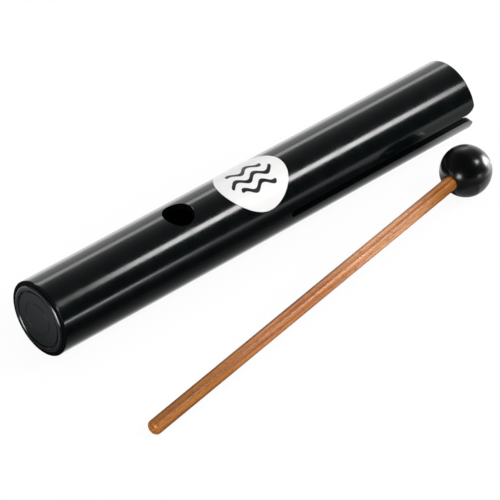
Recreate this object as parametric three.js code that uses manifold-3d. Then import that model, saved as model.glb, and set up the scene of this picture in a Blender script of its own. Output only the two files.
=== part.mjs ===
// Wah-wah tube: a plugged metal tube with two long slots and a thumb hole, and the ball mallet beside it.
// Millimetres, +Z up. The tube lies along X, its plugged end towards -X, and everything stands on z = 0.
import * as THREE from "three";
import { mergeVertices } from "three/addons/utils/BufferGeometryUtils.js";
import Module from "manifold-3d";

// Resonator tube
const tubeDiameter = 41.3;
const tubeWall = 3.8;
const tubeLength = 283.1;
const tubeEdgeBreak = 0.6;
const tubeRoll = 4.4; // degrees that the tube lies turned about its own axis
const slotWidth = 4.4;
const slotLength = 132;
const slotTurn = -1.6; // degrees round the tube that both slots are off square with the thumb hole
const slotMouthReach = 7; // along the tube, of the rounding where the slot leaves the open end
const slotMouthRise = 5; // round the tube, of the same rounding
const thumbHoleDiameter = 17;
const thumbHolePlace = 90.5; // from the plugged end of the tube to the hole's centre

// End plug
const flangeThickness = 0.9;
const flangeInset = 2.45; // the rim stays this far inside the tube's outer surface
const rimEdge = 0.15; // straight part of the rim, next to the tube
const rimBevelWidth = 0.9; // sloped part of the rim, seen from the end
const lipWidth = 1.3; // flat ring between the bevel and the recess
const seamGap = 0.2; // between the flange and the end of the tube
const recessEdgeBreak = 0.4;
const webThickness = 2;
const skirtLength = 16;
const skirtWall = 2;
const skirtClearance = 0.5; // radial, from the skirt to the bore
const ribClearance = 0.15; // radial, from the ribs to the bore
const ribCount = 3;
const ribRoot = 1;
const ribCrest = 0.5;

// Disc in the plug
const discThickness = 1;
const discSunk = 0.25; // from the plug's lip down to the disc's face
const discClearance = 0.6; // radial, a groove round the disc
const discSeat = 0.1; // under the disc
const discRingInset = 5.4; // from the disc's edge to the ring cut into it
const discRingWidth = 1;
const discRingDepth = 0.3;

// Label
const labelLength = 41.7; // along the tube
const labelWrap = 113; // degrees of the tube that the label covers
const labelThickness = 0.2;
const labelSeat = 0.05; // under the label
const labelPlace = 138.3; // from the plugged end of the tube to the label's centre
const labelTurn = 5.5; // degrees from the thumb hole's line

// Mallet
const stickDiameter = 8;
const stickButtDome = 2.5;
const headDiameter = 28;
const malletReach = 254.1; // from the butt's tip to the middle of the head
const boreDepth = 18;
const boreClearance = 0.1; // radial, round the stick
const boreEndGap = 0.3;
const boreMouthBreak = 0.5;
const headSetback = 33.4; // from the tube's open end back to the middle of the head
const headGap = 13.15; // level distance from the tube's side to the head
const malletYaw = 8.7; // degrees between the stick and the tube, seen from above

// Smoothness
const tubeFacets = 96;
const holeFacets = 48;
const slotArcSteps = 12;
const plugFacets = 48;
const labelArcSteps = 40;
const stickFacets = 24;
const domeArcSteps = 5;
const headFacets = 36;
const headArcSteps = 16;
const weldDistance = 1e-4; // points closer than this are one point
const cutMargin = 5; // how far a cutting solid runs past what it cuts

// Sizes that follow from the ones above; the plug's lip is at x = 0
const tubeRadius = tubeDiameter / 2;
const boreRadius = tubeRadius - tubeWall;
const tubeStart = flangeThickness + seamGap;
const tubeEnd = tubeStart + tubeLength;
const rimRadius = tubeRadius - flangeInset;
const bevelRadius = rimRadius - rimBevelWidth;
const recessRadius = bevelRadius - lipWidth - recessEdgeBreak;
const recessDepth = discSunk + discThickness + discSeat;
const stickRadius = stickDiameter / 2;
const headRadius = headDiameter / 2;

const wasm = await Module();
wasm.setup();

// A closed geometry as a solid for cutting.
function solidOf(geometry) {
  const bare = geometry.clone();
  bare.deleteAttribute("normal");
  bare.deleteAttribute("uv");
  const merged = mergeVertices(bare, weldDistance);
  return new wasm.Manifold(
    new wasm.Mesh({
      numProp: 3,
      vertProperties: new Float32Array(merged.attributes.position.array),
      triVerts: new Uint32Array(merged.index.array),
    }),
  );
}

// A cut solid back as a geometry.
function geometryOf(solid) {
  const mesh = solid.getMesh();
  const geometry = new THREE.BufferGeometry();
  geometry.setAttribute("position", new THREE.BufferAttribute(mesh.vertProperties, 3));
  geometry.setIndex(new THREE.BufferAttribute(mesh.triVerts, 1));
  geometry.computeVertexNormals();
  return geometry;
}

// Turns a profile of [radius, x] points about the X axis.
function turned(profile, facets) {
  const points = profile.map(([radius, x]) => new THREE.Vector2(radius, x));
  return new THREE.LatheGeometry(points, facets).rotateZ(-Math.PI / 2);
}

// Points of an elliptic arc in a [radius, x] profile, angles in degrees from the radius direction.
function arc(centre, sizes, from, to, steps) {
  return Array.from({ length: steps + 1 }, (_, i) => {
    const angle = THREE.MathUtils.degToRad(from + ((to - from) * i) / steps);
    return [centre[0] + sizes[0] * Math.cos(angle), centre[1] + sizes[1] * Math.sin(angle)];
  });
}

function named(name, geometry, material) {
  const mesh = new THREE.Mesh(geometry, material);
  mesh.name = name;
  return mesh;
}

// The slots' outline seen from the side: a round root, straight edges and a mouth that opens at the end.
function slotOutline() {
  const half = slotWidth / 2;
  const rootCentre = tubeEnd - slotLength + half;
  const mouthStart = tubeEnd - slotMouthReach;
  const mouthTop = half + slotMouthRise;
  const quarter = Math.PI / 2;
  const outline = new THREE.Shape();
  outline.absarc(rootCentre, 0, half, quarter, -quarter, false);
  outline.absellipse(mouthStart, -mouthTop, slotMouthReach, slotMouthRise, quarter, 0, true);
  outline.lineTo(tubeEnd + cutMargin, -mouthTop);
  outline.lineTo(tubeEnd + cutMargin, mouthTop);
  outline.absellipse(mouthStart, mouthTop, slotMouthReach, slotMouthRise, 0, -quarter, true);
  return outline;
}

// The tube: a sawn length of stock with its edges broken, drilled on top and slotted through both sides.
function resonatorTube() {
  const stock = turned(
    [
      [boreRadius + tubeEdgeBreak, tubeStart],
      [tubeRadius - tubeEdgeBreak, tubeStart],
      [tubeRadius, tubeStart + tubeEdgeBreak],
      [tubeRadius, tubeEnd - tubeEdgeBreak],
      [tubeRadius - tubeEdgeBreak, tubeEnd],
      [boreRadius + tubeEdgeBreak, tubeEnd],
      [boreRadius, tubeEnd - tubeEdgeBreak],
      [boreRadius, tubeStart + tubeEdgeBreak],
      [boreRadius + tubeEdgeBreak, tubeStart],
    ],
    tubeFacets,
  );
  const holeRadius = thumbHoleDiameter / 2;
  const holeDepth = tubeRadius + cutMargin;
  const hole = new THREE.CylinderGeometry(holeRadius, holeRadius, holeDepth, holeFacets)
    .rotateX(Math.PI / 2)
    .translate(tubeStart + thumbHolePlace, 0, holeDepth / 2);
  const cutWidth = tubeDiameter + 2 * cutMargin;
  const slots = new THREE.ExtrudeGeometry(slotOutline(), {
    depth: cutWidth,
    bevelEnabled: false,
    curveSegments: slotArcSteps,
  })
    .rotateX(Math.PI / 2)
    .translate(0, cutWidth / 2, 0)
    .rotateX(THREE.MathUtils.degToRad(slotTurn));
  const solid = solidOf(stock).subtract(solidOf(hole)).subtract(solidOf(slots));
  const material = new THREE.MeshStandardMaterial({ color: 0x0d0e10, roughness: 0.28, metalness: 0.2 });
  return named("resonator_tube", geometryOf(solid), material);
}

// The plug: a bevelled rim on the tube's end, a web behind its recess and a ribbed skirt in the bore.
function endPlug() {
  const skirtRadius = boreRadius - skirtClearance;
  const skirtInner = skirtRadius - skirtWall;
  const skirtEnd = flangeThickness + skirtLength;
  const webBack = recessDepth + webThickness;
  const ribRadius = boreRadius - ribClearance;
  const ribs = [];
  for (let i = 1; i <= ribCount; i += 1) {
    const middle = flangeThickness + (skirtLength * i) / (ribCount + 1);
    ribs.push([skirtRadius, middle - ribRoot / 2]);
    ribs.push([ribRadius, middle - ribCrest / 2]);
    ribs.push([ribRadius, middle + ribCrest / 2]);
    ribs.push([skirtRadius, middle + ribRoot / 2]);
  }
  const profile = [
    [0, recessDepth],
    [recessRadius, recessDepth],
    [recessRadius, recessEdgeBreak],
    [recessRadius + recessEdgeBreak, 0],
    [bevelRadius, 0],
    [rimRadius, flangeThickness - rimEdge],
    [rimRadius, flangeThickness],
    [skirtRadius, flangeThickness],
    ...ribs,
    [skirtRadius, skirtEnd],
    [skirtInner, skirtEnd],
    [skirtInner, webBack],
    [0, webBack],
  ];
  const material = new THREE.MeshStandardMaterial({ color: 0x17181a, roughness: 0.5, metalness: 0 });
  return named("end_plug", turned(profile, plugFacets), material);
}

// The disc in the plug's recess, with one ring cut into its face.
function plugDisc() {
  const discRadius = recessRadius - discClearance;
  const discBack = discSunk + discThickness;
  const ringOuter = discRadius - discRingInset;
  const ringInner = ringOuter - discRingWidth;
  const ringFloor = discSunk + discRingDepth;
  const profile = [
    [0, discSunk],
    [ringInner, discSunk],
    [ringInner, ringFloor],
    [ringOuter, ringFloor],
    [ringOuter, discSunk],
    [discRadius, discSunk],
    [discRadius, discBack],
    [0, discBack],
  ];
  const material = new THREE.MeshStandardMaterial({ color: 0x303133, roughness: 0.6, metalness: 0 });
  return named("plug_disc", turned(profile, plugFacets), material);
}

// The label: a thin sleeve round the tube, trimmed to a rounded outline seen from above.
function label() {
  const inner = tubeRadius + labelSeat;
  const outer = inner + labelThickness;
  const centre = tubeStart + labelPlace;
  const start = centre - labelLength / 2;
  const end = centre + labelLength / 2;
  const sleeve = turned(
    [
      [inner, start],
      [outer, start],
      [outer, end],
      [inner, end],
      [inner, start],
    ],
    tubeFacets,
  );
  const halfWidth = outer * Math.sin(THREE.MathUtils.degToRad(labelWrap / 2));
  const outline = new THREE.Shape();
  outline.absellipse(centre, 0, labelLength / 2, halfWidth, 0, 2 * Math.PI, false);
  const trim = new THREE.ExtrudeGeometry(outline, {
    depth: outer + cutMargin,
    bevelEnabled: false,
    curveSegments: labelArcSteps,
  });
  const solid = solidOf(sleeve).intersect(solidOf(trim));
  const material = new THREE.MeshStandardMaterial({ color: 0xf4f4f2, roughness: 0.4, metalness: 0 });
  const mesh = named("label", geometryOf(solid), material);
  mesh.rotation.x = THREE.MathUtils.degToRad(labelTurn);
  return mesh;
}

// The stick, along X from its domed butt at x = 0 to the end that sits in the head.
function malletStick() {
  const tip = malletReach - headRadius + boreDepth - boreEndGap;
  const dome = arc([0, stickButtDome], [stickRadius, stickButtDome], -90, 0, domeArcSteps);
  const profile = [[0, 0], ...dome.slice(1), [stickRadius, tip], [0, tip]];
  const material = new THREE.MeshStandardMaterial({ color: 0x8a4a22, roughness: 0.5, metalness: 0 });
  return named("mallet_stick", turned(profile, stickFacets), material);
}

// The head: a ball with a blind bore for the stick, its mouth eased.
function malletHead() {
  const holeRadius = stickRadius + boreClearance;
  const mouthRadius = holeRadius + boreMouthBreak;
  const mouthAngle = THREE.MathUtils.radToDeg(Math.acos(mouthRadius / headRadius));
  const boreEnd = malletReach - headRadius + boreDepth;
  const ball = arc([0, malletReach], [headRadius, headRadius], -mouthAngle, 90, headArcSteps);
  const mouthPlace = ball[0][1];
  const profile = [
    [0, boreEnd],
    [holeRadius, boreEnd],
    [holeRadius, mouthPlace + boreMouthBreak],
    ...ball.slice(0, -1),
    [0, malletReach + headRadius],
  ];
  const material = new THREE.MeshStandardMaterial({ color: 0x0b0c0c, roughness: 0.2, metalness: 0 });
  return named("mallet_head", turned(profile, headFacets), material);
}

// The tube lies on the floor, turned a little about its own axis.
const tubeGroup = new THREE.Group();
tubeGroup.add(resonatorTube(), endPlug(), plugDisc(), label());
tubeGroup.rotation.x = THREE.MathUtils.degToRad(tubeRoll);
tubeGroup.position.z = tubeRadius;

// The mallet lies on its head and the edge of its butt, so the stick leans down towards the butt.
const lever = malletReach - stickButtDome;
const lean = Math.asin(headRadius / Math.hypot(lever, stickRadius)) - Math.atan2(stickRadius, lever);
const yaw = THREE.MathUtils.degToRad(malletYaw);
const malletGroup = new THREE.Group();
malletGroup.add(malletStick(), malletHead());
malletGroup.rotation.set(0, -lean, yaw, "ZYX");
const along = new THREE.Vector3(1, 0, 0).applyEuler(malletGroup.rotation);
malletGroup.position
  .set(tubeEnd - headSetback, -(tubeRadius + headGap + headRadius), headRadius)
  .addScaledVector(along, -malletReach);

// The origin is at the middle of the floor under the whole set.
const group = new THREE.Group();
group.add(tubeGroup, malletGroup);
group.updateMatrixWorld(true);
const box = new THREE.Box3().setFromObject(group, true);
const middle = box.getCenter(new THREE.Vector3());
for (const part of group.children) {
  part.position.x -= middle.x;
  part.position.y -= middle.y;
  part.position.z -= box.min.z;
}

export default group;
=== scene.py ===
"""Wah-wah tube with its ball mallet: the finished surfaces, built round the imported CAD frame."""
import math

import bmesh
import bpy
from mathutils import Matrix, Vector


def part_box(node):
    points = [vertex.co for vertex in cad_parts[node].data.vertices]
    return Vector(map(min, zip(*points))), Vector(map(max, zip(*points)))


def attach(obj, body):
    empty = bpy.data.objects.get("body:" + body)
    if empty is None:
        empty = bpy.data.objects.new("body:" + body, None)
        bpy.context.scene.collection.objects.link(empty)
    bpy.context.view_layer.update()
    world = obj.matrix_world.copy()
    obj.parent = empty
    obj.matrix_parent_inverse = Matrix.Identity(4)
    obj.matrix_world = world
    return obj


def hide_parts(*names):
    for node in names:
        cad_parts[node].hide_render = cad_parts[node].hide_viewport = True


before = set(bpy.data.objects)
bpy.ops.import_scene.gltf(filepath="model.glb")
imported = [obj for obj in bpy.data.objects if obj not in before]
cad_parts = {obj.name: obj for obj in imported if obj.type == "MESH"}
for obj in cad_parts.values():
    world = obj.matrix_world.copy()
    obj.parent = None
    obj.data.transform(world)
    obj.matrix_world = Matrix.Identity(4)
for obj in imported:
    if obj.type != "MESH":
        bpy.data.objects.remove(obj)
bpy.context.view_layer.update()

# Resonator tube
# A sawn length of drawn aluminium tube, powder coated black. The thumb hole is drilled through its top, and
# a long slot is milled through each side from the open end, which leaves an upper and a lower tongue.
MM = 0.001
tube_low, tube_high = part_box("resonator_tube")
lip_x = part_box("end_plug")[0].x
tube_axis_y = (tube_low.y + tube_high.y) / 2
tube_radius = (tube_high.z - tube_low.z) / 2 / MM
tube_start = (tube_low.x - lip_x) / MM
tube_end = (tube_high.x - lip_x) / MM
tube_roll = math.radians(4.4)
tube_wall = 3.8
tube_edge_break = 0.6
tube_edge_steps = 5
tube_edge_hold = 0.4
tube_steps = 288
slot_width = 4.4
slot_length = 132.0
slot_turn = math.radians(-1.6)
slot_mouth_reach = 7.0
slot_mouth_rise = 5.0
slot_arc_steps = 20
hole_diameter = 17.0
hole_place = 90.5
hole_steps = 120
cut_edge_break = 0.12
coat_build = 0.12
cut_margin = 5.0
seam_weld = 0.0001
cut_weld = 0.002
sharp_angle = math.radians(25)

# Pieces of the tube are drawn in mm along X from the plug's lip. This puts them where the frame has them.
tube_place = (
    Matrix.Translation((lip_x, tube_axis_y, tube_low.z + tube_radius * MM))
    @ Matrix.Rotation(tube_roll, 4, "X")
    @ Matrix.Scale(MM, 4)
)


def arc(centre, sizes, start, end, steps):
    """Points of an elliptic arc, from one angle in degrees to another."""
    angles = [math.radians(start + (end - start) * i / steps) for i in range(steps + 1)]
    return [(centre[0] + sizes[0] * math.cos(a), centre[1] + sizes[1] * math.sin(a)) for a in angles]


def turned(profile, steps):
    """A closed body turned on a lathe: (along, radius) points in mm, spun round the X axis."""
    bm = bmesh.new()
    points = [bm.verts.new((along, 0, radius)) for along, radius in profile]
    edges = [bm.edges.new(pair) for pair in zip(points, points[1:])]
    bmesh.ops.spin(
        bm, geom=points + edges, cent=(0, 0, 0), axis=(1, 0, 0), angle=math.tau, steps=steps, use_merge=True
    )
    bmesh.ops.remove_doubles(bm, verts=bm.verts, dist=seam_weld)
    bmesh.ops.recalc_face_normals(bm, faces=bm.faces)
    return bm


def stand(name, bm):
    """An object in the scene that holds this bmesh."""
    mesh = bpy.data.meshes.new(name)
    bm.to_mesh(mesh)
    bm.free()
    made = bpy.data.objects.new(name, mesh)
    bpy.context.scene.collection.objects.link(made)
    return made


def finished(name, bm, place):
    """The bmesh put in its place, smooth but for its real edges."""
    bmesh.ops.transform(bm, matrix=place, verts=bm.verts)
    piece = stand(name, bm)
    piece.data.shade_smooth()
    piece.data.set_sharp_from_angle(angle=sharp_angle)
    return piece


def surface_height(across):
    """Height of the tube's outside over its axis at a distance across it."""
    return math.sqrt(tube_radius**2 - across**2)


def wall_cutter(outline, turn):
    """A tool that cuts straight down through one wall along the outline and breaks the outer edge."""
    grown = []
    for i, (x, y) in enumerate(outline):
        ahead, behind = outline[(i + 1) % len(outline)], outline[i - 1]
        along = Vector((ahead[0] - behind[0], ahead[1] - behind[1])).normalized()
        grown.append((x + 2 * cut_edge_break * along.y, y - 2 * cut_edge_break * along.x))
    rings = [
        [(x, y, 0) for x, y in outline],
        [(x, y, surface_height(y) - cut_edge_break) for x, y in outline],
        [(x, y, surface_height(y) + cut_edge_break) for x, y in grown],
        [(x, y, tube_radius + cut_margin) for x, y in grown],
    ]
    bm = bmesh.new()
    loops = []
    for ring in rings:
        points = [bm.verts.new(place) for place in ring]
        loops.append([bm.edges.new(pair) for pair in zip(points, points[1:] + points[:1])])
    for lower, upper in zip(loops, loops[1:]):
        bmesh.ops.bridge_loops(bm, edges=lower + upper)
    bmesh.ops.holes_fill(bm, edges=loops[0] + loops[-1])
    bmesh.ops.recalc_face_normals(bm, faces=bm.faces)
    bmesh.ops.rotate(bm, cent=(0, 0, 0), matrix=Matrix.Rotation(turn, 3, "X"), verts=bm.verts)
    return bm


def cut(body, tools):
    """The body with each tool cut out of it, and the slivers that cutting leaves welded shut."""
    whole = stand("uncut", body)
    helpers = [stand("tool", tool) for tool in tools]
    for helper in helpers:
        boolean = whole.modifiers.new("cut", "BOOLEAN")
        boolean.operation = "DIFFERENCE"
        boolean.solver = "EXACT"
        boolean.object = helper
    evaluated = whole.evaluated_get(bpy.context.evaluated_depsgraph_get())
    bm = bmesh.new()
    bm.from_mesh(evaluated.to_mesh())
    evaluated.to_mesh_clear()
    bmesh.ops.remove_doubles(bm, verts=bm.verts, dist=cut_weld)
    for helper in [whole, *helpers]:
        bpy.data.objects.remove(helper)
    return bm


bore_radius = tube_radius - tube_wall
edge = (tube_edge_break, tube_edge_break)
first, last = tube_start + tube_edge_break, tube_end - tube_edge_break
outer, inner = tube_radius - tube_edge_break, bore_radius + tube_edge_break
tube_profile = [
    *arc((first, outer), edge, 180, 90, tube_edge_steps),
    (first + tube_edge_hold, tube_radius),
    (last - tube_edge_hold, tube_radius),
    *arc((last, outer), edge, 90, 0, tube_edge_steps),
    *arc((last, inner), edge, 0, -90, tube_edge_steps),
    (last - tube_edge_hold, bore_radius),
    (first + tube_edge_hold, bore_radius),
    *arc((first, inner), edge, 270, 180, tube_edge_steps),
]
tube_stock = turned([*tube_profile, tube_profile[0]], tube_steps)
half_slot = slot_width / 2 - coat_build
mouth_start = tube_end - slot_mouth_reach
mouth_top = half_slot + slot_mouth_rise
slot_outline = [
    *arc((tube_end - slot_length + half_slot, 0), (half_slot, half_slot), 90, 270, slot_arc_steps),
    *arc((mouth_start, -mouth_top), (slot_mouth_reach, slot_mouth_rise), 90, 0, slot_arc_steps),
    (tube_end + cut_margin, -mouth_top),
    (tube_end + cut_margin, mouth_top),
    *arc((mouth_start, mouth_top), (slot_mouth_reach, slot_mouth_rise), 0, -90, slot_arc_steps),
]
hole_radius = hole_diameter / 2 - coat_build
hole_outline = arc((tube_start + hole_place, 0), (hole_radius, hole_radius), 0, 360, hole_steps)[:-1]
quarter = math.pi / 2
tube_body = cut(
    tube_stock,
    [
        wall_cutter(hole_outline, 0),
        wall_cutter(slot_outline, slot_turn + quarter),
        wall_cutter(slot_outline, slot_turn - quarter),
    ],
)
tube = finished("tube_shell", tube_body, tube_place)


def linear(hex_colour):
    """An sRGB hex colour as linear red, green, blue and alpha."""
    shares = [int(hex_colour[i : i + 2], 16) / 255 for i in (1, 3, 5)]
    return [c / 12.92 if c <= 0.04045 else ((c + 0.055) / 1.055) ** 2.4 for c in shares] + [1.0]


def add_node(tree, kind, inputs=None, **settings):
    """Adds one node: each input is a plain value, or another node's output to link to it."""
    made = tree.nodes.new(kind)
    for setting, value in settings.items():
        setattr(made, setting, value)
    for socket, value in (inputs or {}).items():
        if isinstance(value, bpy.types.NodeSocket):
            tree.links.new(value, made.inputs[socket])
        else:
            made.inputs[socket].default_value = value
    return made


def per_metre(size_mm):
    """Texture scale that gives a pattern this size in mm."""
    return 1 / (size_mm * MM)


def new_finish(name):
    """An empty material, its node tree and its output node."""
    material = bpy.data.materials.new(name)
    material.use_nodes = True
    material.node_tree.nodes.clear()
    return material, material.node_tree, add_node(material.node_tree, "ShaderNodeOutputMaterial")


# Black powder coat on aluminium: baked on, so it flows into a faint orange peel and sets to a satin gloss.
# In the bore and the cuts, where the powder goes on thin, it stays dull.
coat, tree, output = new_finish("powder_coated_aluminium")
peel_size = 1.4
peel_height = 0.004
patch_size = 9.0
noise_low, noise_high = 0.3, 0.7
coat_roughness = (0.13, 0.18)
coat_specular = 0.5
dull_roughness = 0.35
dull_specular = 0.02
dull_depth = 0.2
gloss_depth = 0.06
place = add_node(tree, "ShaderNodeTexCoord").outputs["Object"]
peel = add_node(tree, "ShaderNodeTexNoise", {"Vector": place, "Scale": per_metre(peel_size), "Detail": 2.0})
patches = add_node(
    tree, "ShaderNodeTexNoise", {"Vector": place, "Scale": per_metre(patch_size), "Detail": 3.0}
)
tint = add_node(
    tree,
    "ShaderNodeMix",
    {"Factor": patches.outputs["Fac"], "A": linear("#020404"), "B": linear("#040708")},
    data_type="RGBA",
)
gloss = add_node(
    tree,
    "ShaderNodeMapRange",
    {
        "Value": patches.outputs["Fac"],
        "From Min": noise_low,
        "From Max": noise_high,
        "To Min": coat_roughness[0],
        "To Max": coat_roughness[1],
    },
)
tube_axis = Vector((0, tube_axis_y, tube_low.z + tube_radius * MM))
from_axis = add_node(tree, "ShaderNodeVectorMath", {0: place, 1: tube_axis}, operation="SUBTRACT")
from_axis = add_node(
    tree, "ShaderNodeVectorMath", {0: from_axis.outputs["Vector"], 1: (0, 1, 1)}, operation="MULTIPLY"
)
from_axis = add_node(tree, "ShaderNodeVectorMath", {0: from_axis.outputs["Vector"]}, operation="LENGTH")
outside = add_node(
    tree,
    "ShaderNodeMapRange",
    {
        "Value": from_axis.outputs["Value"],
        "From Min": (tube_radius - dull_depth) * MM,
        "From Max": (tube_radius - gloss_depth) * MM,
    },
)
sheen = add_node(
    tree,
    "ShaderNodeMix",
    {"Factor": outside.outputs["Result"], "A": dull_roughness, "B": gloss.outputs["Result"]},
    data_type="FLOAT",
)
specular = add_node(
    tree,
    "ShaderNodeMapRange",
    {"Value": outside.outputs["Result"], "To Min": dull_specular, "To Max": coat_specular},
)
ripple = add_node(
    tree, "ShaderNodeBump", {"Height": peel.outputs["Fac"], "Strength": 1.0, "Distance": peel_height * MM}
)
surface = add_node(
    tree,
    "ShaderNodeBsdfPrincipled",
    {
        "Base Color": tint.outputs["Result"],
        "Roughness": sheen.outputs["Result"],
        "Specular IOR Level": specular.outputs["Result"],
        "Normal": ripple.outputs["Normal"],
        "IOR": 1.5,
    },
)
tree.links.new(surface.outputs["BSDF"], output.inputs["Surface"])
tube.data.materials.append(coat)
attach(tube, "tube")
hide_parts("resonator_tube")

# End plug
# A black moulded plug pushed into the tube's closed end: a bevelled rim that stops on the sawn edge, a
# recess for the disc, and behind it a skirt whose three ribs grip the bore.
flange_thickness = 0.9
flange_inset = 2.45
rim_edge = 0.15
rim_bevel_width = 0.9
rim_swell = 0.06
rim_steps = 6
lip_width = 1.3
recess_edge_break = 0.4
web_thickness = 2.0
skirt_length = 16.0
skirt_wall = 2.0
skirt_clearance = 0.5
rib_clearance = 0.15
rib_count = 3
rib_root = 1.0
rib_crest = 0.5
disc_thickness = 1.0
disc_sunk = 0.25
disc_seat = 0.1
plug_steps = 160
moulded_edge = 0.07

rim_radius = tube_radius - flange_inset
bevel_radius = rim_radius - rim_bevel_width
recess_radius = bevel_radius - lip_width - recess_edge_break
recess_depth = disc_sunk + disc_thickness + disc_seat
skirt_radius = bore_radius - skirt_clearance
skirt_inner = skirt_radius - skirt_wall
skirt_end = flange_thickness + skirt_length
rib_radius = bore_radius - rib_clearance
ribs = []
for i in range(1, rib_count + 1):
    middle = flange_thickness + skirt_length * i / (rib_count + 1)
    ribs += [
        (middle - rib_root / 2, skirt_radius),
        (middle - rib_crest / 2, rib_radius),
        (middle + rib_crest / 2, rib_radius),
        (middle + rib_root / 2, skirt_radius),
    ]

# The rim's bevel swells outwards a little, most of all halfway.
rim_slope = Vector((flange_thickness - rim_edge, rim_bevel_width))
rim_out = Vector((-rim_slope.y, rim_slope.x)).normalized()
rim_curve = []
for i in range(rim_steps + 1):
    share = i / rim_steps
    swell = rim_out * rim_swell * 4 * share * (1 - share)
    rim_curve.append(Vector((0, bevel_radius)) + rim_slope * share + swell)
plug_body = turned(
    [
        (recess_depth, 0),
        (recess_depth, recess_radius),
        (recess_edge_break, recess_radius),
        (0, recess_radius + recess_edge_break),
        *rim_curve,
        (flange_thickness, rim_radius),
        (flange_thickness, skirt_radius),
        *ribs,
        (skirt_end, skirt_radius),
        (skirt_end, skirt_inner),
        (recess_depth + web_thickness, skirt_inner),
        (recess_depth + web_thickness, 0),
    ],
    plug_steps,
)
plug = finished("plug_body", plug_body, tube_place)


def ease_edges(piece, width):
    """Rounds the piece's sharp edges, as a mould or a cutter leaves them."""
    bevel = piece.modifiers.new("eased_edges", "BEVEL")
    bevel.width = width * MM
    bevel.segments = 2
    bevel.limit_method = "ANGLE"
    bevel.angle_limit = sharp_angle
    bevel.profile = 0.5


ease_edges(plug, moulded_edge)

# Black polypropylene from a polished mould: satin, with a fine even grain, which is drawn coarse enough
# here to show.
moulded, tree, output = new_finish("moulded_polypropylene")
grain_size = 0.6
grain_height = 0.004
plug_cloud_size = 5.0
plug_roughness = (0.18, 0.24)
place = add_node(tree, "ShaderNodeTexCoord").outputs["Object"]
grain = add_node(
    tree, "ShaderNodeTexNoise", {"Vector": place, "Scale": per_metre(grain_size), "Detail": 2.0}
)
cloud = add_node(
    tree, "ShaderNodeTexNoise", {"Vector": place, "Scale": per_metre(plug_cloud_size), "Detail": 2.0}
)
tint = add_node(
    tree,
    "ShaderNodeMix",
    {"Factor": cloud.outputs["Fac"], "A": linear("#080909"), "B": linear("#0d0e0e")},
    data_type="RGBA",
)
gloss = add_node(
    tree,
    "ShaderNodeMapRange",
    {
        "Value": cloud.outputs["Fac"],
        "From Min": noise_low,
        "From Max": noise_high,
        "To Min": plug_roughness[0],
        "To Max": plug_roughness[1],
    },
)
ripple = add_node(
    tree, "ShaderNodeBump", {"Height": grain.outputs["Fac"], "Strength": 1.0, "Distance": grain_height * MM}
)
surface = add_node(
    tree,
    "ShaderNodeBsdfPrincipled",
    {
        "Base Color": tint.outputs["Result"],
        "Roughness": gloss.outputs["Result"],
        "Normal": ripple.outputs["Normal"],
        "IOR": 1.45,
    },
)
tree.links.new(surface.outputs["BSDF"], output.inputs["Surface"])
plug.data.materials.append(moulded)
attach(plug, "end_cap")
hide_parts("end_plug")

# Plug disc
# A thin moulded disc snapped into the plug's recess, nearly flush with its lip, in a matt dark grey. One
# plain ring moulded into its face is its only ornament.
disc_clearance = 0.75
disc_ring_inset = 5.4
disc_ring_width = 1.0
disc_ring_depth = 0.3
disc_edge = 0.15

disc_radius = recess_radius - disc_clearance
ring_outer = disc_radius - disc_ring_inset
ring_inner = ring_outer - disc_ring_width
ring_floor = disc_sunk + disc_ring_depth
disc_back = disc_sunk + disc_thickness
disc_body = turned(
    [
        (disc_sunk, 0),
        (disc_sunk, ring_inner),
        (ring_floor, ring_inner),
        (ring_floor, ring_outer),
        (disc_sunk, ring_outer),
        (disc_sunk, disc_radius),
        (disc_back, disc_radius),
        (disc_back, 0),
    ],
    plug_steps,
)
disc = finished("disc_face", disc_body, tube_place)
ease_edges(disc, disc_edge)

# Dark grey ABS with a spark-eroded mould grain, drawn coarse enough here to show: it scatters the light, so
# the face stays an even grey.
matt, tree, output = new_finish("spark_grained_abs")
spark_size = 0.5
spark_height = 0.02
disc_cloud_size = 4.0
place = add_node(tree, "ShaderNodeTexCoord").outputs["Object"]
sparks = add_node(tree, "ShaderNodeTexVoronoi", {"Vector": place, "Scale": per_metre(spark_size)})
cloud = add_node(
    tree, "ShaderNodeTexNoise", {"Vector": place, "Scale": per_metre(disc_cloud_size), "Detail": 3.0}
)
tint = add_node(
    tree,
    "ShaderNodeMix",
    {"Factor": cloud.outputs["Fac"], "A": linear("#090e10"), "B": linear("#0e1416")},
    data_type="RGBA",
)
ripple = add_node(
    tree,
    "ShaderNodeBump",
    {"Height": sparks.outputs["Distance"], "Strength": 1.0, "Distance": spark_height * MM},
)
surface = add_node(
    tree,
    "ShaderNodeBsdfPrincipled",
    {
        "Base Color": tint.outputs["Result"],
        "Roughness": 0.48,
        "Specular IOR Level": 0.36,
        "Normal": ripple.outputs["Normal"],
        "IOR": 1.45,
    },
)
tree.links.new(surface.outputs["BSDF"], output.inputs["Surface"])
disc.data.materials.append(matt)
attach(disc, "end_cap")
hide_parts("plug_disc")

# Label
# A nearly round sticker of white vinyl, die cut and smoothed by hand over the top of the tube. Its print
# here is a plain sign for sound, three black waves.
label_low, label_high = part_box("label")
label_length = (label_high.x - label_low.x) / MM
label_place = ((label_high.x + label_low.x) / 2 - lip_x) / MM
label_wrap = math.radians(113)
label_turn = math.radians(5.5)
label_thickness = 0.19
label_seat = 0.05
label_steps = 120
label_strips = 60

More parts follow.
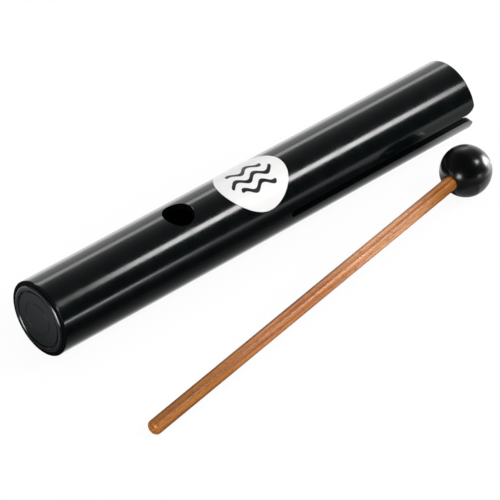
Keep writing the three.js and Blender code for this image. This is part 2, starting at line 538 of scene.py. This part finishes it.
label_inner = tube_radius + label_seat
label_outer = label_inner + label_thickness
label_half_width = label_outer * math.sin(label_wrap / 2)
label_body = bmesh.new()
bmesh.ops.create_circle(label_body, cap_ends=True, radius=label_length / 2, segments=label_steps)
bmesh.ops.scale(label_body, vec=(1, 2 * label_half_width / label_length, 1), verts=label_body.verts)
for i in range(1, label_strips):
    across = label_half_width * (2 * i / label_strips - 1)
    everything = [*label_body.verts, *label_body.edges, *label_body.faces]
    bmesh.ops.bisect_plane(label_body, geom=everything, plane_co=(0, across, 0), plane_no=(0, 1, 0))
bmesh.ops.remove_doubles(label_body, verts=label_body.verts, dist=cut_weld)
print_map = label_body.loops.layers.uv.new("print")
for vert in label_body.verts:
    vert.co.z = math.sqrt(label_outer**2 - vert.co.y**2)
for face in label_body.faces:
    for loop in face.loops:
        round_tube = tube_radius * math.asin(loop.vert.co.y / label_outer)
        loop[print_map].uv = (loop.vert.co.x / label_length + 0.5, round_tube / label_length + 0.5)
bmesh.ops.recalc_face_normals(label_body, faces=label_body.faces)
skin = bmesh.ops.extrude_face_region(label_body, geom=label_body.faces[:], use_keep_orig=True)["geom"]
shrink = label_inner / label_outer
for vert in (part for part in skin if isinstance(part, bmesh.types.BMVert)):
    vert.co.y *= shrink
    vert.co.z *= shrink
bmesh.ops.recalc_face_normals(label_body, faces=label_body.faces)
label_roll = Matrix.Rotation(label_turn, 3, "X")
bmesh.ops.rotate(label_body, cent=(0, 0, 0), matrix=label_roll, verts=label_body.verts)
bmesh.ops.translate(label_body, vec=(label_place, 0, 0), verts=label_body.verts)
label = finished("label_sticker", label_body, tube_place)

# White vinyl with black ink: a soft gloss, faintly uneven where it clings to the coat. The waves are worked
# out in mm on the flat sticker, from its own map.
vinyl, tree, output = new_finish("printed_vinyl")
cling_size = 2.5
cling_height = 0.01
vinyl_roughness = (0.3, 0.4)
wave_spacing = 6.4
wave_height = 1.7
wave_length = 12.0
wave_stroke = 2.5
wave_reach = 9.5
wave_reach_middle = 3.5
ink_softness = 0.1
flat = add_node(
    tree,
    "ShaderNodeVectorMath",
    {0: add_node(tree, "ShaderNodeTexCoord").outputs["UV"], 1: (0.5, 0.5, 0.0)},
    operation="SUBTRACT",
)
flat_mm = add_node(
    tree, "ShaderNodeVectorMath", {0: flat.outputs["Vector"], "Scale": label_length}, operation="SCALE"
)
split = add_node(tree, "ShaderNodeSeparateXYZ", {"Vector": flat_mm.outputs["Vector"]})
along, across = split.outputs["X"], split.outputs["Y"]
phase = add_node(tree, "ShaderNodeMath", {0: along, 1: math.tau / wave_length}, operation="MULTIPLY")
swing = add_node(tree, "ShaderNodeMath", {0: phase.outputs[0]}, operation="SINE")
level = add_node(
    tree, "ShaderNodeMath", {0: swing.outputs[0], 1: -wave_height, 2: across}, operation="MULTIPLY_ADD"
)
row = add_node(tree, "ShaderNodeMath", {0: level.outputs[0], 1: 1 / wave_spacing}, operation="MULTIPLY")
row = add_node(tree, "ShaderNodeMath", {0: row.outputs[0]}, operation="ROUND")
row = add_node(tree, "ShaderNodeClamp", {"Value": row.outputs[0], "Min": -1.0, "Max": 1.0})
off_line = add_node(
    tree,
    "ShaderNodeMath",
    {0: row.outputs[0], 1: -wave_spacing, 2: level.outputs[0]},
    operation="MULTIPLY_ADD",
)
outer_row = add_node(tree, "ShaderNodeMath", {0: row.outputs[0]}, operation="ABSOLUTE")
reach = add_node(
    tree,
    "ShaderNodeMath",
    {0: outer_row.outputs[0], 1: -wave_reach_middle, 2: wave_reach + wave_reach_middle},
    operation="MULTIPLY_ADD",
)
from_middle = add_node(tree, "ShaderNodeMath", {0: along}, operation="ABSOLUTE")
past_end = add_node(
    tree, "ShaderNodeMath", {0: from_middle.outputs[0], 1: reach.outputs[0]}, operation="SUBTRACT"
)
past_end = add_node(tree, "ShaderNodeMath", {0: past_end.outputs[0], 1: 0.0}, operation="MAXIMUM")
gap = add_node(tree, "ShaderNodeCombineXYZ", {"X": past_end.outputs[0], "Y": off_line.outputs[0]})
gap = add_node(tree, "ShaderNodeVectorMath", {0: gap.outputs["Vector"]}, operation="LENGTH")
ink = add_node(
    tree,
    "ShaderNodeMapRange",
    {
        "Value": gap.outputs["Value"],
        "From Min": wave_stroke / 2 - ink_softness,
        "From Max": wave_stroke / 2 + ink_softness,
        "To Min": 1.0,
        "To Max": 0.0,
    },
)
tint = add_node(
    tree,
    "ShaderNodeMix",
    {"Factor": ink.outputs["Result"], "A": linear("#e8e8e7"), "B": linear("#1b1d1e")},
    data_type="RGBA",
)
cling = add_node(
    tree,
    "ShaderNodeTexNoise",
    {"Vector": flat_mm.outputs["Vector"], "Scale": 1 / cling_size, "Detail": 2.0},
)
gloss = add_node(
    tree,
    "ShaderNodeMapRange",
    {
        "Value": cling.outputs["Fac"],
        "From Min": noise_low,
        "From Max": noise_high,
        "To Min": vinyl_roughness[0],
        "To Max": vinyl_roughness[1],
    },
)
ripple = add_node(
    tree, "ShaderNodeBump", {"Height": cling.outputs["Fac"], "Strength": 1.0, "Distance": cling_height * MM}
)
surface = add_node(
    tree,
    "ShaderNodeBsdfPrincipled",
    {
        "Base Color": tint.outputs["Result"],
        "Roughness": gloss.outputs["Result"],
        "Specular IOR Level": 0.35,
        "Normal": ripple.outputs["Normal"],
        "IOR": 1.45,
    },
)
tree.links.new(surface.outputs["BSDF"], output.inputs["Surface"])
label.data.materials.append(vinyl)
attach(label, "tube")
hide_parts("label")

# Mallet stick
# A turned hardwood dowel, reddish brown under a thin clear finish, with its butt rounded on the lathe. It
# lies beside the tube, on the edge of its butt and on the ball.
stick_diameter = 8.0
stick_butt_dome = 2.5
head_diameter = 28.0
mallet_reach = 254.1
bore_depth = 18.0
bore_end_gap = 0.3
head_setback = 33.4
head_gap = 13.15
mallet_yaw = math.radians(8.7)
dome_steps = 14
stick_steps = 72
finish_shave = 0.02

stick_radius = stick_diameter / 2
drawn_radius = stick_radius - finish_shave
head_radius = head_diameter / 2
lever = mallet_reach - stick_butt_dome
mallet_lean = math.asin(head_radius / math.hypot(lever, stick_radius)) - math.atan2(stick_radius, lever)
mallet_turn = Matrix.Rotation(mallet_yaw, 4, "Z") @ Matrix.Rotation(-mallet_lean, 4, "Y")
head_centre = Vector(
    (
        tube_high.x - head_setback * MM,
        tube_axis_y - (tube_radius + head_gap + head_radius) * MM,
        tube_low.z + head_radius * MM,
    )
)
butt = head_centre - mallet_turn.to_3x3() @ Vector((mallet_reach * MM, 0, 0))
mallet_place = Matrix.Translation(butt) @ mallet_turn @ Matrix.Scale(MM, 4)
stick_tip = mallet_reach - head_radius + bore_depth - bore_end_gap
stick_body = turned(
    [
        *arc((stick_butt_dome, 0), (stick_butt_dome - finish_shave, drawn_radius), 180, 90, dome_steps),
        (stick_tip, drawn_radius),
        (stick_tip, 0),
    ],
    stick_steps,
)
stick = finished("stick_dowel", stick_body, mallet_place)


def graded(tree, value, stops):
    """A colour that runs through these (value, linear colour) stops."""
    first, last = stops[0][0], stops[-1][0]
    share = add_node(tree, "ShaderNodeMapRange", {"Value": value, "From Min": first, "From Max": last})
    ramp = add_node(tree, "ShaderNodeValToRGB", {"Fac": share.outputs["Result"]})
    elements = ramp.color_ramp.elements
    elements.remove(elements[1])
    for i, (stop, colour) in enumerate(stops):
        position = (stop - first) / (last - first)
        element = elements[0] if i == 0 else elements.new(position)
        element.position = position
        element.color = colour
    return ramp.outputs["Color"]


# Reddish hardwood, turned and lightly varnished: long streaks follow the stick, with short dark pores
# between, drawn a little wide to show. A tone along the stick, in mm from the butt, deepens the colour
# near the butt and by the ball.
wood, tree, output = new_finish("varnished_hardwood")
streak_width = 1.5
streak_stretch = 55.0
streak_tones = [(0.34, "#96623f"), (0.5, "#b9835c"), (0.66, "#d39a72")]
pore_width = 0.5
pore_stretch = 9.0
pore_start, pore_full = 0.56, 0.68
pore_share = 0.55
pore_depth = 0.04
wood_roughness = (0.34, 0.26)
butt_tone = "#c5ad6f"
middle_tone = "#dec9b0"
untoned = "#ffffff"
ball_tone = "#ceb368"
# Tones along the stick in mm from the butt, which multiply the wood's colour.
along_stick_tones = [
    (45, butt_tone),
    (90, middle_tone),
    (130, middle_tone),
    (167, untoned),
    (201, untoned),
    (227, ball_tone),
]
place = add_node(tree, "ShaderNodeTexCoord").outputs["Object"]
turn_angles = mallet_turn.to_euler()
fibre = add_node(
    tree,
    "ShaderNodeMapping",
    {"Vector": place, "Location": butt, "Rotation": turn_angles, "Scale": (streak_stretch, 1, 1)},
    vector_type="TEXTURE",
)
short_fibre = add_node(
    tree,
    "ShaderNodeMapping",
    {"Vector": place, "Location": butt, "Rotation": turn_angles, "Scale": (pore_stretch, 1, 1)},
    vector_type="TEXTURE",
)
streaks = add_node(
    tree,
    "ShaderNodeTexNoise",
    {"Vector": fibre.outputs["Vector"], "Scale": per_metre(streak_width), "Detail": 4.0, "Roughness": 0.6},
)
tones = graded(tree, streaks.outputs["Fac"], [(stop, linear(colour)) for stop, colour in streak_tones])
from_butt = add_node(
    tree,
    "ShaderNodeMapping",
    {"Vector": place, "Location": butt, "Rotation": turn_angles},
    vector_type="TEXTURE",
)
from_butt = add_node(tree, "ShaderNodeSeparateXYZ", {"Vector": from_butt.outputs["Vector"]})
along_mm = add_node(tree, "ShaderNodeMath", {0: from_butt.outputs["X"], 1: 1 / MM}, operation="MULTIPLY")
along_tone = graded(tree, along_mm.outputs[0], [(stop, linear(colour)) for stop, colour in along_stick_tones])
toned = add_node(
    tree,
    "ShaderNodeMix",
    {"Factor": 1.0, "A": tones, "B": along_tone},
    data_type="RGBA",
    blend_type="MULTIPLY",
)
pores = add_node(
    tree,
    "ShaderNodeTexNoise",
    {"Vector": short_fibre.outputs["Vector"], "Scale": per_metre(pore_width), "Detail": 2.0},
)
pore_mask = add_node(
    tree,
    "ShaderNodeMapRange",
    {
        "Value": pores.outputs["Fac"],
        "From Min": pore_start,
        "From Max": pore_full,
        "To Min": 0.0,
        "To Max": pore_share,
    },
)
tint = add_node(
    tree,
    "ShaderNodeMix",
    {"Factor": pore_mask.outputs["Result"], "A": toned.outputs["Result"], "B": linear("#5f2e10")},
    data_type="RGBA",
)
gloss = add_node(
    tree,
    "ShaderNodeMapRange",
    {
        "Value": streaks.outputs["Fac"],
        "From Min": noise_low,
        "From Max": noise_high,
        "To Min": wood_roughness[0],
        "To Max": wood_roughness[1],
    },
)
ripple = add_node(
    tree,
    "ShaderNodeBump",
    {"Height": pore_mask.outputs["Result"], "Strength": 1.0, "Distance": pore_depth * MM},
    invert=True,
)
surface = add_node(
    tree,
    "ShaderNodeBsdfPrincipled",
    {
        "Base Color": tint.outputs["Result"],
        "Roughness": gloss.outputs["Result"],
        "Specular IOR Level": 0.28,
        "Normal": ripple.outputs["Normal"],
        "IOR": 1.5,
    },
)
tree.links.new(surface.outputs["BSDF"], output.inputs["Surface"])
stick.data.materials.append(wood)

# The tube and the ball don't mirror the stick.
stick.visible_glossy = False
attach(stick, "mallet")
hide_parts("mallet_stick")

# Mallet head
# A solid ball of black rubber with a blind bore, pressed and glued on the stick. It comes smooth and glossy
# out of a polished mould.
bore_clearance = 0.1
bore_mouth_break = 0.5
head_arc_steps = 64
head_steps = 128

bore_hole = stick_radius + bore_clearance
mouth_angle = math.degrees(math.acos((bore_hole + bore_mouth_break) / head_radius))
bore_end = mallet_reach - head_radius + bore_depth
ball = arc((mallet_reach, 0), (head_radius, head_radius), 90 + mouth_angle, 0, head_arc_steps)
head_body = turned(
    [(bore_end, 0), (bore_end, bore_hole), (ball[0][0] + bore_mouth_break, bore_hole), *ball],
    head_steps,
)
head = finished("head_ball", head_body, mallet_place)

# Black rubber with a polished skin: a clear gloss, broken by a very faint unevenness.
rubber, tree, output = new_finish("polished_rubber")
dent_size = 5.0
dent_height = 0.02
dust_size = 0.8
rubber_roughness = (0.21, 0.24)
place = add_node(tree, "ShaderNodeTexCoord").outputs["Object"]
dents = add_node(
    tree, "ShaderNodeTexNoise", {"Vector": place, "Scale": per_metre(dent_size), "Detail": 2.0}
)
dust = add_node(
    tree, "ShaderNodeTexNoise", {"Vector": place, "Scale": per_metre(dust_size), "Detail": 3.0}
)
tint = add_node(
    tree,
    "ShaderNodeMix",
    {"Factor": dust.outputs["Fac"], "A": linear("#030404"), "B": linear("#080909")},
    data_type="RGBA",
)
gloss = add_node(
    tree,
    "ShaderNodeMapRange",
    {
        "Value": dust.outputs["Fac"],
        "From Min": noise_low,
        "From Max": noise_high,
        "To Min": rubber_roughness[0],
        "To Max": rubber_roughness[1],
    },
)
ripple = add_node(
    tree, "ShaderNodeBump", {"Height": dents.outputs["Fac"], "Strength": 1.0, "Distance": dent_height * MM}
)
surface = add_node(
    tree,
    "ShaderNodeBsdfPrincipled",
    {
        "Base Color": tint.outputs["Result"],
        "Roughness": gloss.outputs["Result"],
        "Normal": ripple.outputs["Normal"],
        "IOR": 1.45,
    },
)
tree.links.new(surface.outputs["BSDF"], output.inputs["Surface"])
head.data.materials.append(rubber)
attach(head, "mallet")
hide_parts("mallet_head")

# Floor
# A wide sheet of white paper under the set, which the camera sees nearly white with a soft shadow. Pieces
# mirror a painted glow on it in place of its light: bright to the back, falling off into painted dark in
# front of the tube and at its plugged end, and paler again beside its open end. Stops are in mm behind the
# tube's axis or along X.
floor_half = 15.0
floor_drop = 0.05 * MM
white_share = 0.93
mirrored_peak = 2.0
# Painted glow that reflections see on the floor, by mm behind the tube's axis.
painted_floor_glow = [
    (-320, 0.35),
    (-200, 0.25),
    (-150, 0.15),
    (-110, 0.03),
    (-50, 0.02),
    (-40, 0.08),
    (-28, 0.19),
    (-20, 0.42),
    (-17, 0.65),
    (-14, 1.35),
    (40, 1.2),
    (165, 2.0),
]
front_line = -12.0
right_gain = 1.7
gain_start, gain_full = -20.0, 130.0
# Painted glow along X in mm: darkened beyond the plugged end, full from the plug on.
painted_end_glow = [(-250, 0.8), (-176, 0.52), (-147, 0.07), (-140.5, 0.05), (-139.5, 1.0)]
open_end_start, open_end_full = 116.0, 140.0
open_end_shade = 0.4
mallet_line_front, mallet_line_back = -52.0, -38.0
mallet_line_share = 0.34
floor_body = bmesh.new()
bmesh.ops.create_grid(floor_body, x_segments=1, y_segments=1, size=floor_half)
bmesh.ops.translate(floor_body, vec=(0, 0, tube_low.z - floor_drop), verts=floor_body.verts)
floor = stand("floor", floor_body)


def grey(share):
    """A linear grey, from 0 for black to 1 for white."""
    return (share, share, share, 1.0)


paper, tree, output = new_finish("white_paper")
place = add_node(tree, "ShaderNodeTexCoord").outputs["Object"]
split = add_node(tree, "ShaderNodeSeparateXYZ", {"Vector": place}).outputs
along_mm = add_node(tree, "ShaderNodeMath", {0: split["X"], 1: 1 / MM}, operation="MULTIPLY")
behind_tube = add_node(tree, "ShaderNodeMath", {0: split["Y"], 1: tube_axis_y}, operation="SUBTRACT")
behind_mm = add_node(tree, "ShaderNodeMath", {0: behind_tube.outputs[0], 1: 1 / MM}, operation="MULTIPLY")
falloff = graded(
    tree, behind_mm.outputs[0], [(stop, grey(shade / mirrored_peak)) for stop, shade in painted_floor_glow]
)
gain = add_node(
    tree,
    "ShaderNodeMapRange",
    {
        "Value": along_mm.outputs[0],
        "From Min": gain_start,
        "From Max": gain_full,
        "To Min": 1.0,
        "To Max": right_gain,
    },
)
in_front = add_node(
    tree, "ShaderNodeMapRange", {"Value": behind_mm.outputs[0], "From Min": 0.0, "From Max": front_line}
)
gain = add_node(
    tree,
    "ShaderNodeMix",
    {"Factor": in_front.outputs["Result"], "A": 1.0, "B": gain.outputs["Result"]},
    data_type="FLOAT",
)
past_end = graded(tree, along_mm.outputs[0], [(stop, grey(shade)) for stop, shade in painted_end_glow])
gain = add_node(tree, "ShaderNodeMath", {0: gain.outputs["Result"], 1: past_end}, operation="MULTIPLY")
strength = add_node(tree, "ShaderNodeMath", {0: gain.outputs[0], 1: mirrored_peak}, operation="MULTIPLY")
seen = add_node(tree, "ShaderNodeLightPath").outputs
mirrored = add_node(
    tree, "ShaderNodeMath", {0: seen["Is Glossy Ray"], 1: seen["Is Transmission Ray"]}, operation="MAXIMUM"
)
share = add_node(tree, "ShaderNodeMath", {0: seen["Is Camera Ray"], 1: white_share}, operation="MULTIPLY")
sheet = add_node(tree, "ShaderNodeBsdfDiffuse", {"Color": linear("#f4f4f4")})
white = add_node(tree, "ShaderNodeEmission", {"Color": linear("#ffffff"), "Strength": 1.0})
past_mouth = add_node(
    tree,
    "ShaderNodeMapRange",
    {"Value": along_mm.outputs[0], "From Min": open_end_start, "From Max": open_end_full},
)
past_mallet = add_node(
    tree,
    "ShaderNodeMapRange",
    {
        "Value": behind_mm.outputs[0],
        "From Min": mallet_line_front,
        "From Max": mallet_line_back,
        "To Min": mallet_line_share,
        "To Max": 1.0,
    },
)
past_mouth = add_node(
    tree,
    "ShaderNodeMath",
    {0: past_mouth.outputs["Result"], 1: past_mallet.outputs["Result"]},
    operation="MULTIPLY",
)
lit = add_node(
    tree,
    "ShaderNodeMix",
    {"Factor": past_mouth.outputs[0], "A": falloff, "B": grey(open_end_shade)},
    data_type="RGBA",
    blend_type="LIGHTEN",
)
# The painted glow, seen only in reflections, stands in for the floor's light.
glow = add_node(
    tree, "ShaderNodeEmission", {"Color": lit.outputs["Result"], "Strength": strength.outputs[0]}
)
shown = add_node(
    tree,
    "ShaderNodeMixShader",
    {"Fac": share.outputs[0], 1: sheet.outputs["BSDF"], 2: white.outputs["Emission"]},
)
mixed = add_node(
    tree,
    "ShaderNodeMixShader",
    {"Fac": mirrored.outputs[0], 1: shown.outputs["Shader"], 2: glow.outputs["Emission"]},
)
tree.links.new(mixed.outputs["Shader"], output.inputs["Surface"])
floor.data.materials.append(paper)

# Studio light
# A key softbox at the front right, low softboxes at both ends, a low strip in front and one over the
# backdrop show as highlights. The ball has glows of its own in place of three of these, and white cards
# round its foot, the tube two strips on its left, and the plug's rim a card. Two fills stay unmirrored.
light_target = Vector((0, tube_axis_y / 2, tube_radius * MM))

# Heights of the cards that lie on the floor, seen from the lamps' target.
floor_card = -0.0202
upper_card = -0.0201


def softbox(name, place, facing, width, height, radiance, mirrored=True, only=(), but=()):
    """A flat lamp at a place seen from the set, for all pieces, for only some or for all but some."""
    lamp = bpy.data.lights.new(name, "AREA")
    lamp.shape = "RECTANGLE"
    lamp.size = width
    lamp.size_y = height
    lamp.energy = radiance * math.pi * width * height
    made = bpy.data.objects.new(name, lamp)
    made.location = light_target + Vector(place)
    made.rotation_euler = Vector(facing).to_track_quat("Z", "Y").to_euler()
    made.visible_camera = False
    made.visible_glossy = mirrored
    bpy.context.scene.collection.objects.link(made)
    if only or but:
        chosen = bpy.data.collections.new(name)
        for piece in (*only, *but):
            chosen.objects.link(piece)
        for entry in chosen.collection_objects:
            entry.light_linking.link_state = "INCLUDE" if only else "EXCLUDE"
        made.light_linking.receiver_collection = chosen


# The end strip leaves out the label, which it would bleach.
softbox("key_softbox", (0.675, -0.592, 0.84), (0, -0.58, 0.82), 0.36, 0.225, 17.5)
softbox("front_strip", (0.338, -0.869, 0.01), (0, -1, 0), 0.24, 0.085, 6.2)
softbox("end_strip", (-1.38, -0.5, 0.29), (-1.38, -0.5, 0.29), 0.5, 0.55, 20.0, but=(label, head))
softbox("end_glow", (-1.32, -0.475, 0.15), (-1.32, -0.475, 0.15), 0.38, 0.42, 16.0, only=(head,))
softbox("side_softbox", (1.3, -0.2, 0.19), (1.3, -0.2, 0.19), 0.5, 0.4, 20.0, but=(head,))
softbox("side_glow", (1.286, -0.33, 0.25), (1.286, -0.33, 0.25), 0.52, 0.44, 20.0, only=(head,))
softbox("backdrop_strip", (1.056, 1.295, 1.098), (0, 0.763, 0.647), 1.2, 0.35, 3.0, but=(head,))
softbox("backdrop_glow", (1.3, 1.295, 1.098), (0, 0.763, 0.647), 0.9, 0.35, 1.8, only=(head,))
softbox("left_front_strip", (-0.95, -0.8, 0.85), (0, -0.8, 0.85), 2.2, 0.14, 9.0, only=(tube,))
softbox("left_back_strip", (-0.95, 0.9, 0.75), (0, 0.9, 0.75), 2.2, 0.14, 9.0, only=(tube,))
softbox("front_card", (0.12, -0.115, floor_card), (0, 0, -1), 0.16, 0.165, 0.12, only=(head,))
softbox("under_card", (0.1025, -0.047, upper_card), (0, 0, -1), 0.019, 0.028, 0.22, only=(head,))
softbox("near_card", (0.131, -0.048, floor_card), (0, 0, -1), 0.04, 0.03, 0.7, only=(head,))
softbox("far_card", (0.178, -0.058, floor_card), (0, 0, -1), 0.054, 0.07, 2.2, only=(head,))
softbox("side_card", (0.205, -0.05, 0.002), (1, 0, 0), 0.05, 0.045, 7.0, only=(head,))
softbox("rim_card", (-0.273, -0.069, 0.0), (-0.131, -0.071, 0), 0.06, 0.04, 12.0, only=(plug,))
softbox("top_fill", (0, -0.25, 1.6), (0, -0.1, 1), 2.4, 2.4, 0.78, mirrored=False)
softbox("front_fill", (0.3, -1.0, 0.9), (0.3, -1.0, 0.9), 1.2, 1.0, 1.15, mirrored=False)

# The room behind the lamps. Reflections see it bright low at the back, dimmer over the top to the front by
# the angle in degrees, and dark on the left. It lights the colours evenly, and the camera sees it white.
room_peak = 1.2
room_left_share = 0.15
room_left, room_right = 0.1, 0.48
room_even = 0.3
room_shades = [
    (0, 1.2),
    (26, 1.13),
    (50, 0.6),
    (66, 0.27),
    (86, 0.13),
    (110, 0.08),
    (140, 0.03),
    (180, 0.02),
]
world = bpy.data.worlds.new("studio")
bpy.context.scene.world = world
world.use_nodes = True
tree = world.node_tree
tree.nodes.clear()
towards = add_node(tree, "ShaderNodeTexCoord").outputs["Generated"]
split = add_node(tree, "ShaderNodeSeparateXYZ", {"Vector": towards}).outputs
over_back = add_node(tree, "ShaderNodeMath", {0: split["Z"], 1: split["Y"]}, operation="ARCTAN2")
over_back = add_node(tree, "ShaderNodeMath", {0: over_back.outputs[0]}, operation="DEGREES")
dimmed = add_node(
    tree,
    "ShaderNodeMapRange",
    {
        "Value": split["X"],
        "From Min": room_left,
        "From Max": room_right,
        "To Min": room_left_share,
        "To Max": 1.0,
    },
)
lit = graded(tree, over_back.outputs[0], [(stop, grey(shade / room_peak)) for stop, shade in room_shades])
lit = add_node(
    tree, "ShaderNodeVectorMath", {0: lit, "Scale": dimmed.outputs["Result"]}, operation="SCALE"
)
seen = add_node(tree, "ShaderNodeLightPath").outputs
lit = add_node(
    tree,
    "ShaderNodeMix",
    {"Factor": seen["Is Glossy Ray"], "A": grey(room_even / room_peak), "B": lit.outputs["Vector"]},
    data_type="RGBA",
)
shade = add_node(
    tree,
    "ShaderNodeMix",
    {"Factor": seen["Is Camera Ray"], "A": lit.outputs["Result"], "B": linear("#ffffff")},
    data_type="RGBA",
)
room = add_node(tree, "ShaderNodeBackground", {"Color": shade.outputs["Result"], "Strength": room_peak})
add_node(tree, "ShaderNodeOutputWorld", {"Surface": room.outputs["Background"]})

# Camera
# A long lens from the front left and above, at the place that the tube's outline in the photograph gives.
camera_azimuth = math.radians(-42.03)
camera_elevation = math.radians(37.9)
camera_distance = 1.9146
target_from_mouth = 0.16835
target_from_axis = 0.0287
camera_lens = 271.9
camera_target = Vector(
    (tube_high.x - target_from_mouth, tube_axis_y - target_from_axis, tube_radius * MM)
)
back = Vector(
    (
        math.sin(camera_azimuth) * math.cos(camera_elevation),
        -math.cos(camera_azimuth) * math.cos(camera_elevation),
        math.sin(camera_elevation),
    )
)
camera_data = bpy.data.cameras.new("camera")
camera_data.lens = camera_lens
camera_data.sensor_width = 36.0
camera_data.clip_end = 100.0
camera = bpy.data.objects.new("camera", camera_data)
camera.location = camera_target + back * camera_distance
camera.rotation_euler = back.to_track_quat("Z", "Y").to_euler()
bpy.context.scene.collection.objects.link(camera)
bpy.context.scene.camera = camera
bpy.context.scene.view_settings.view_transform = "Standard"
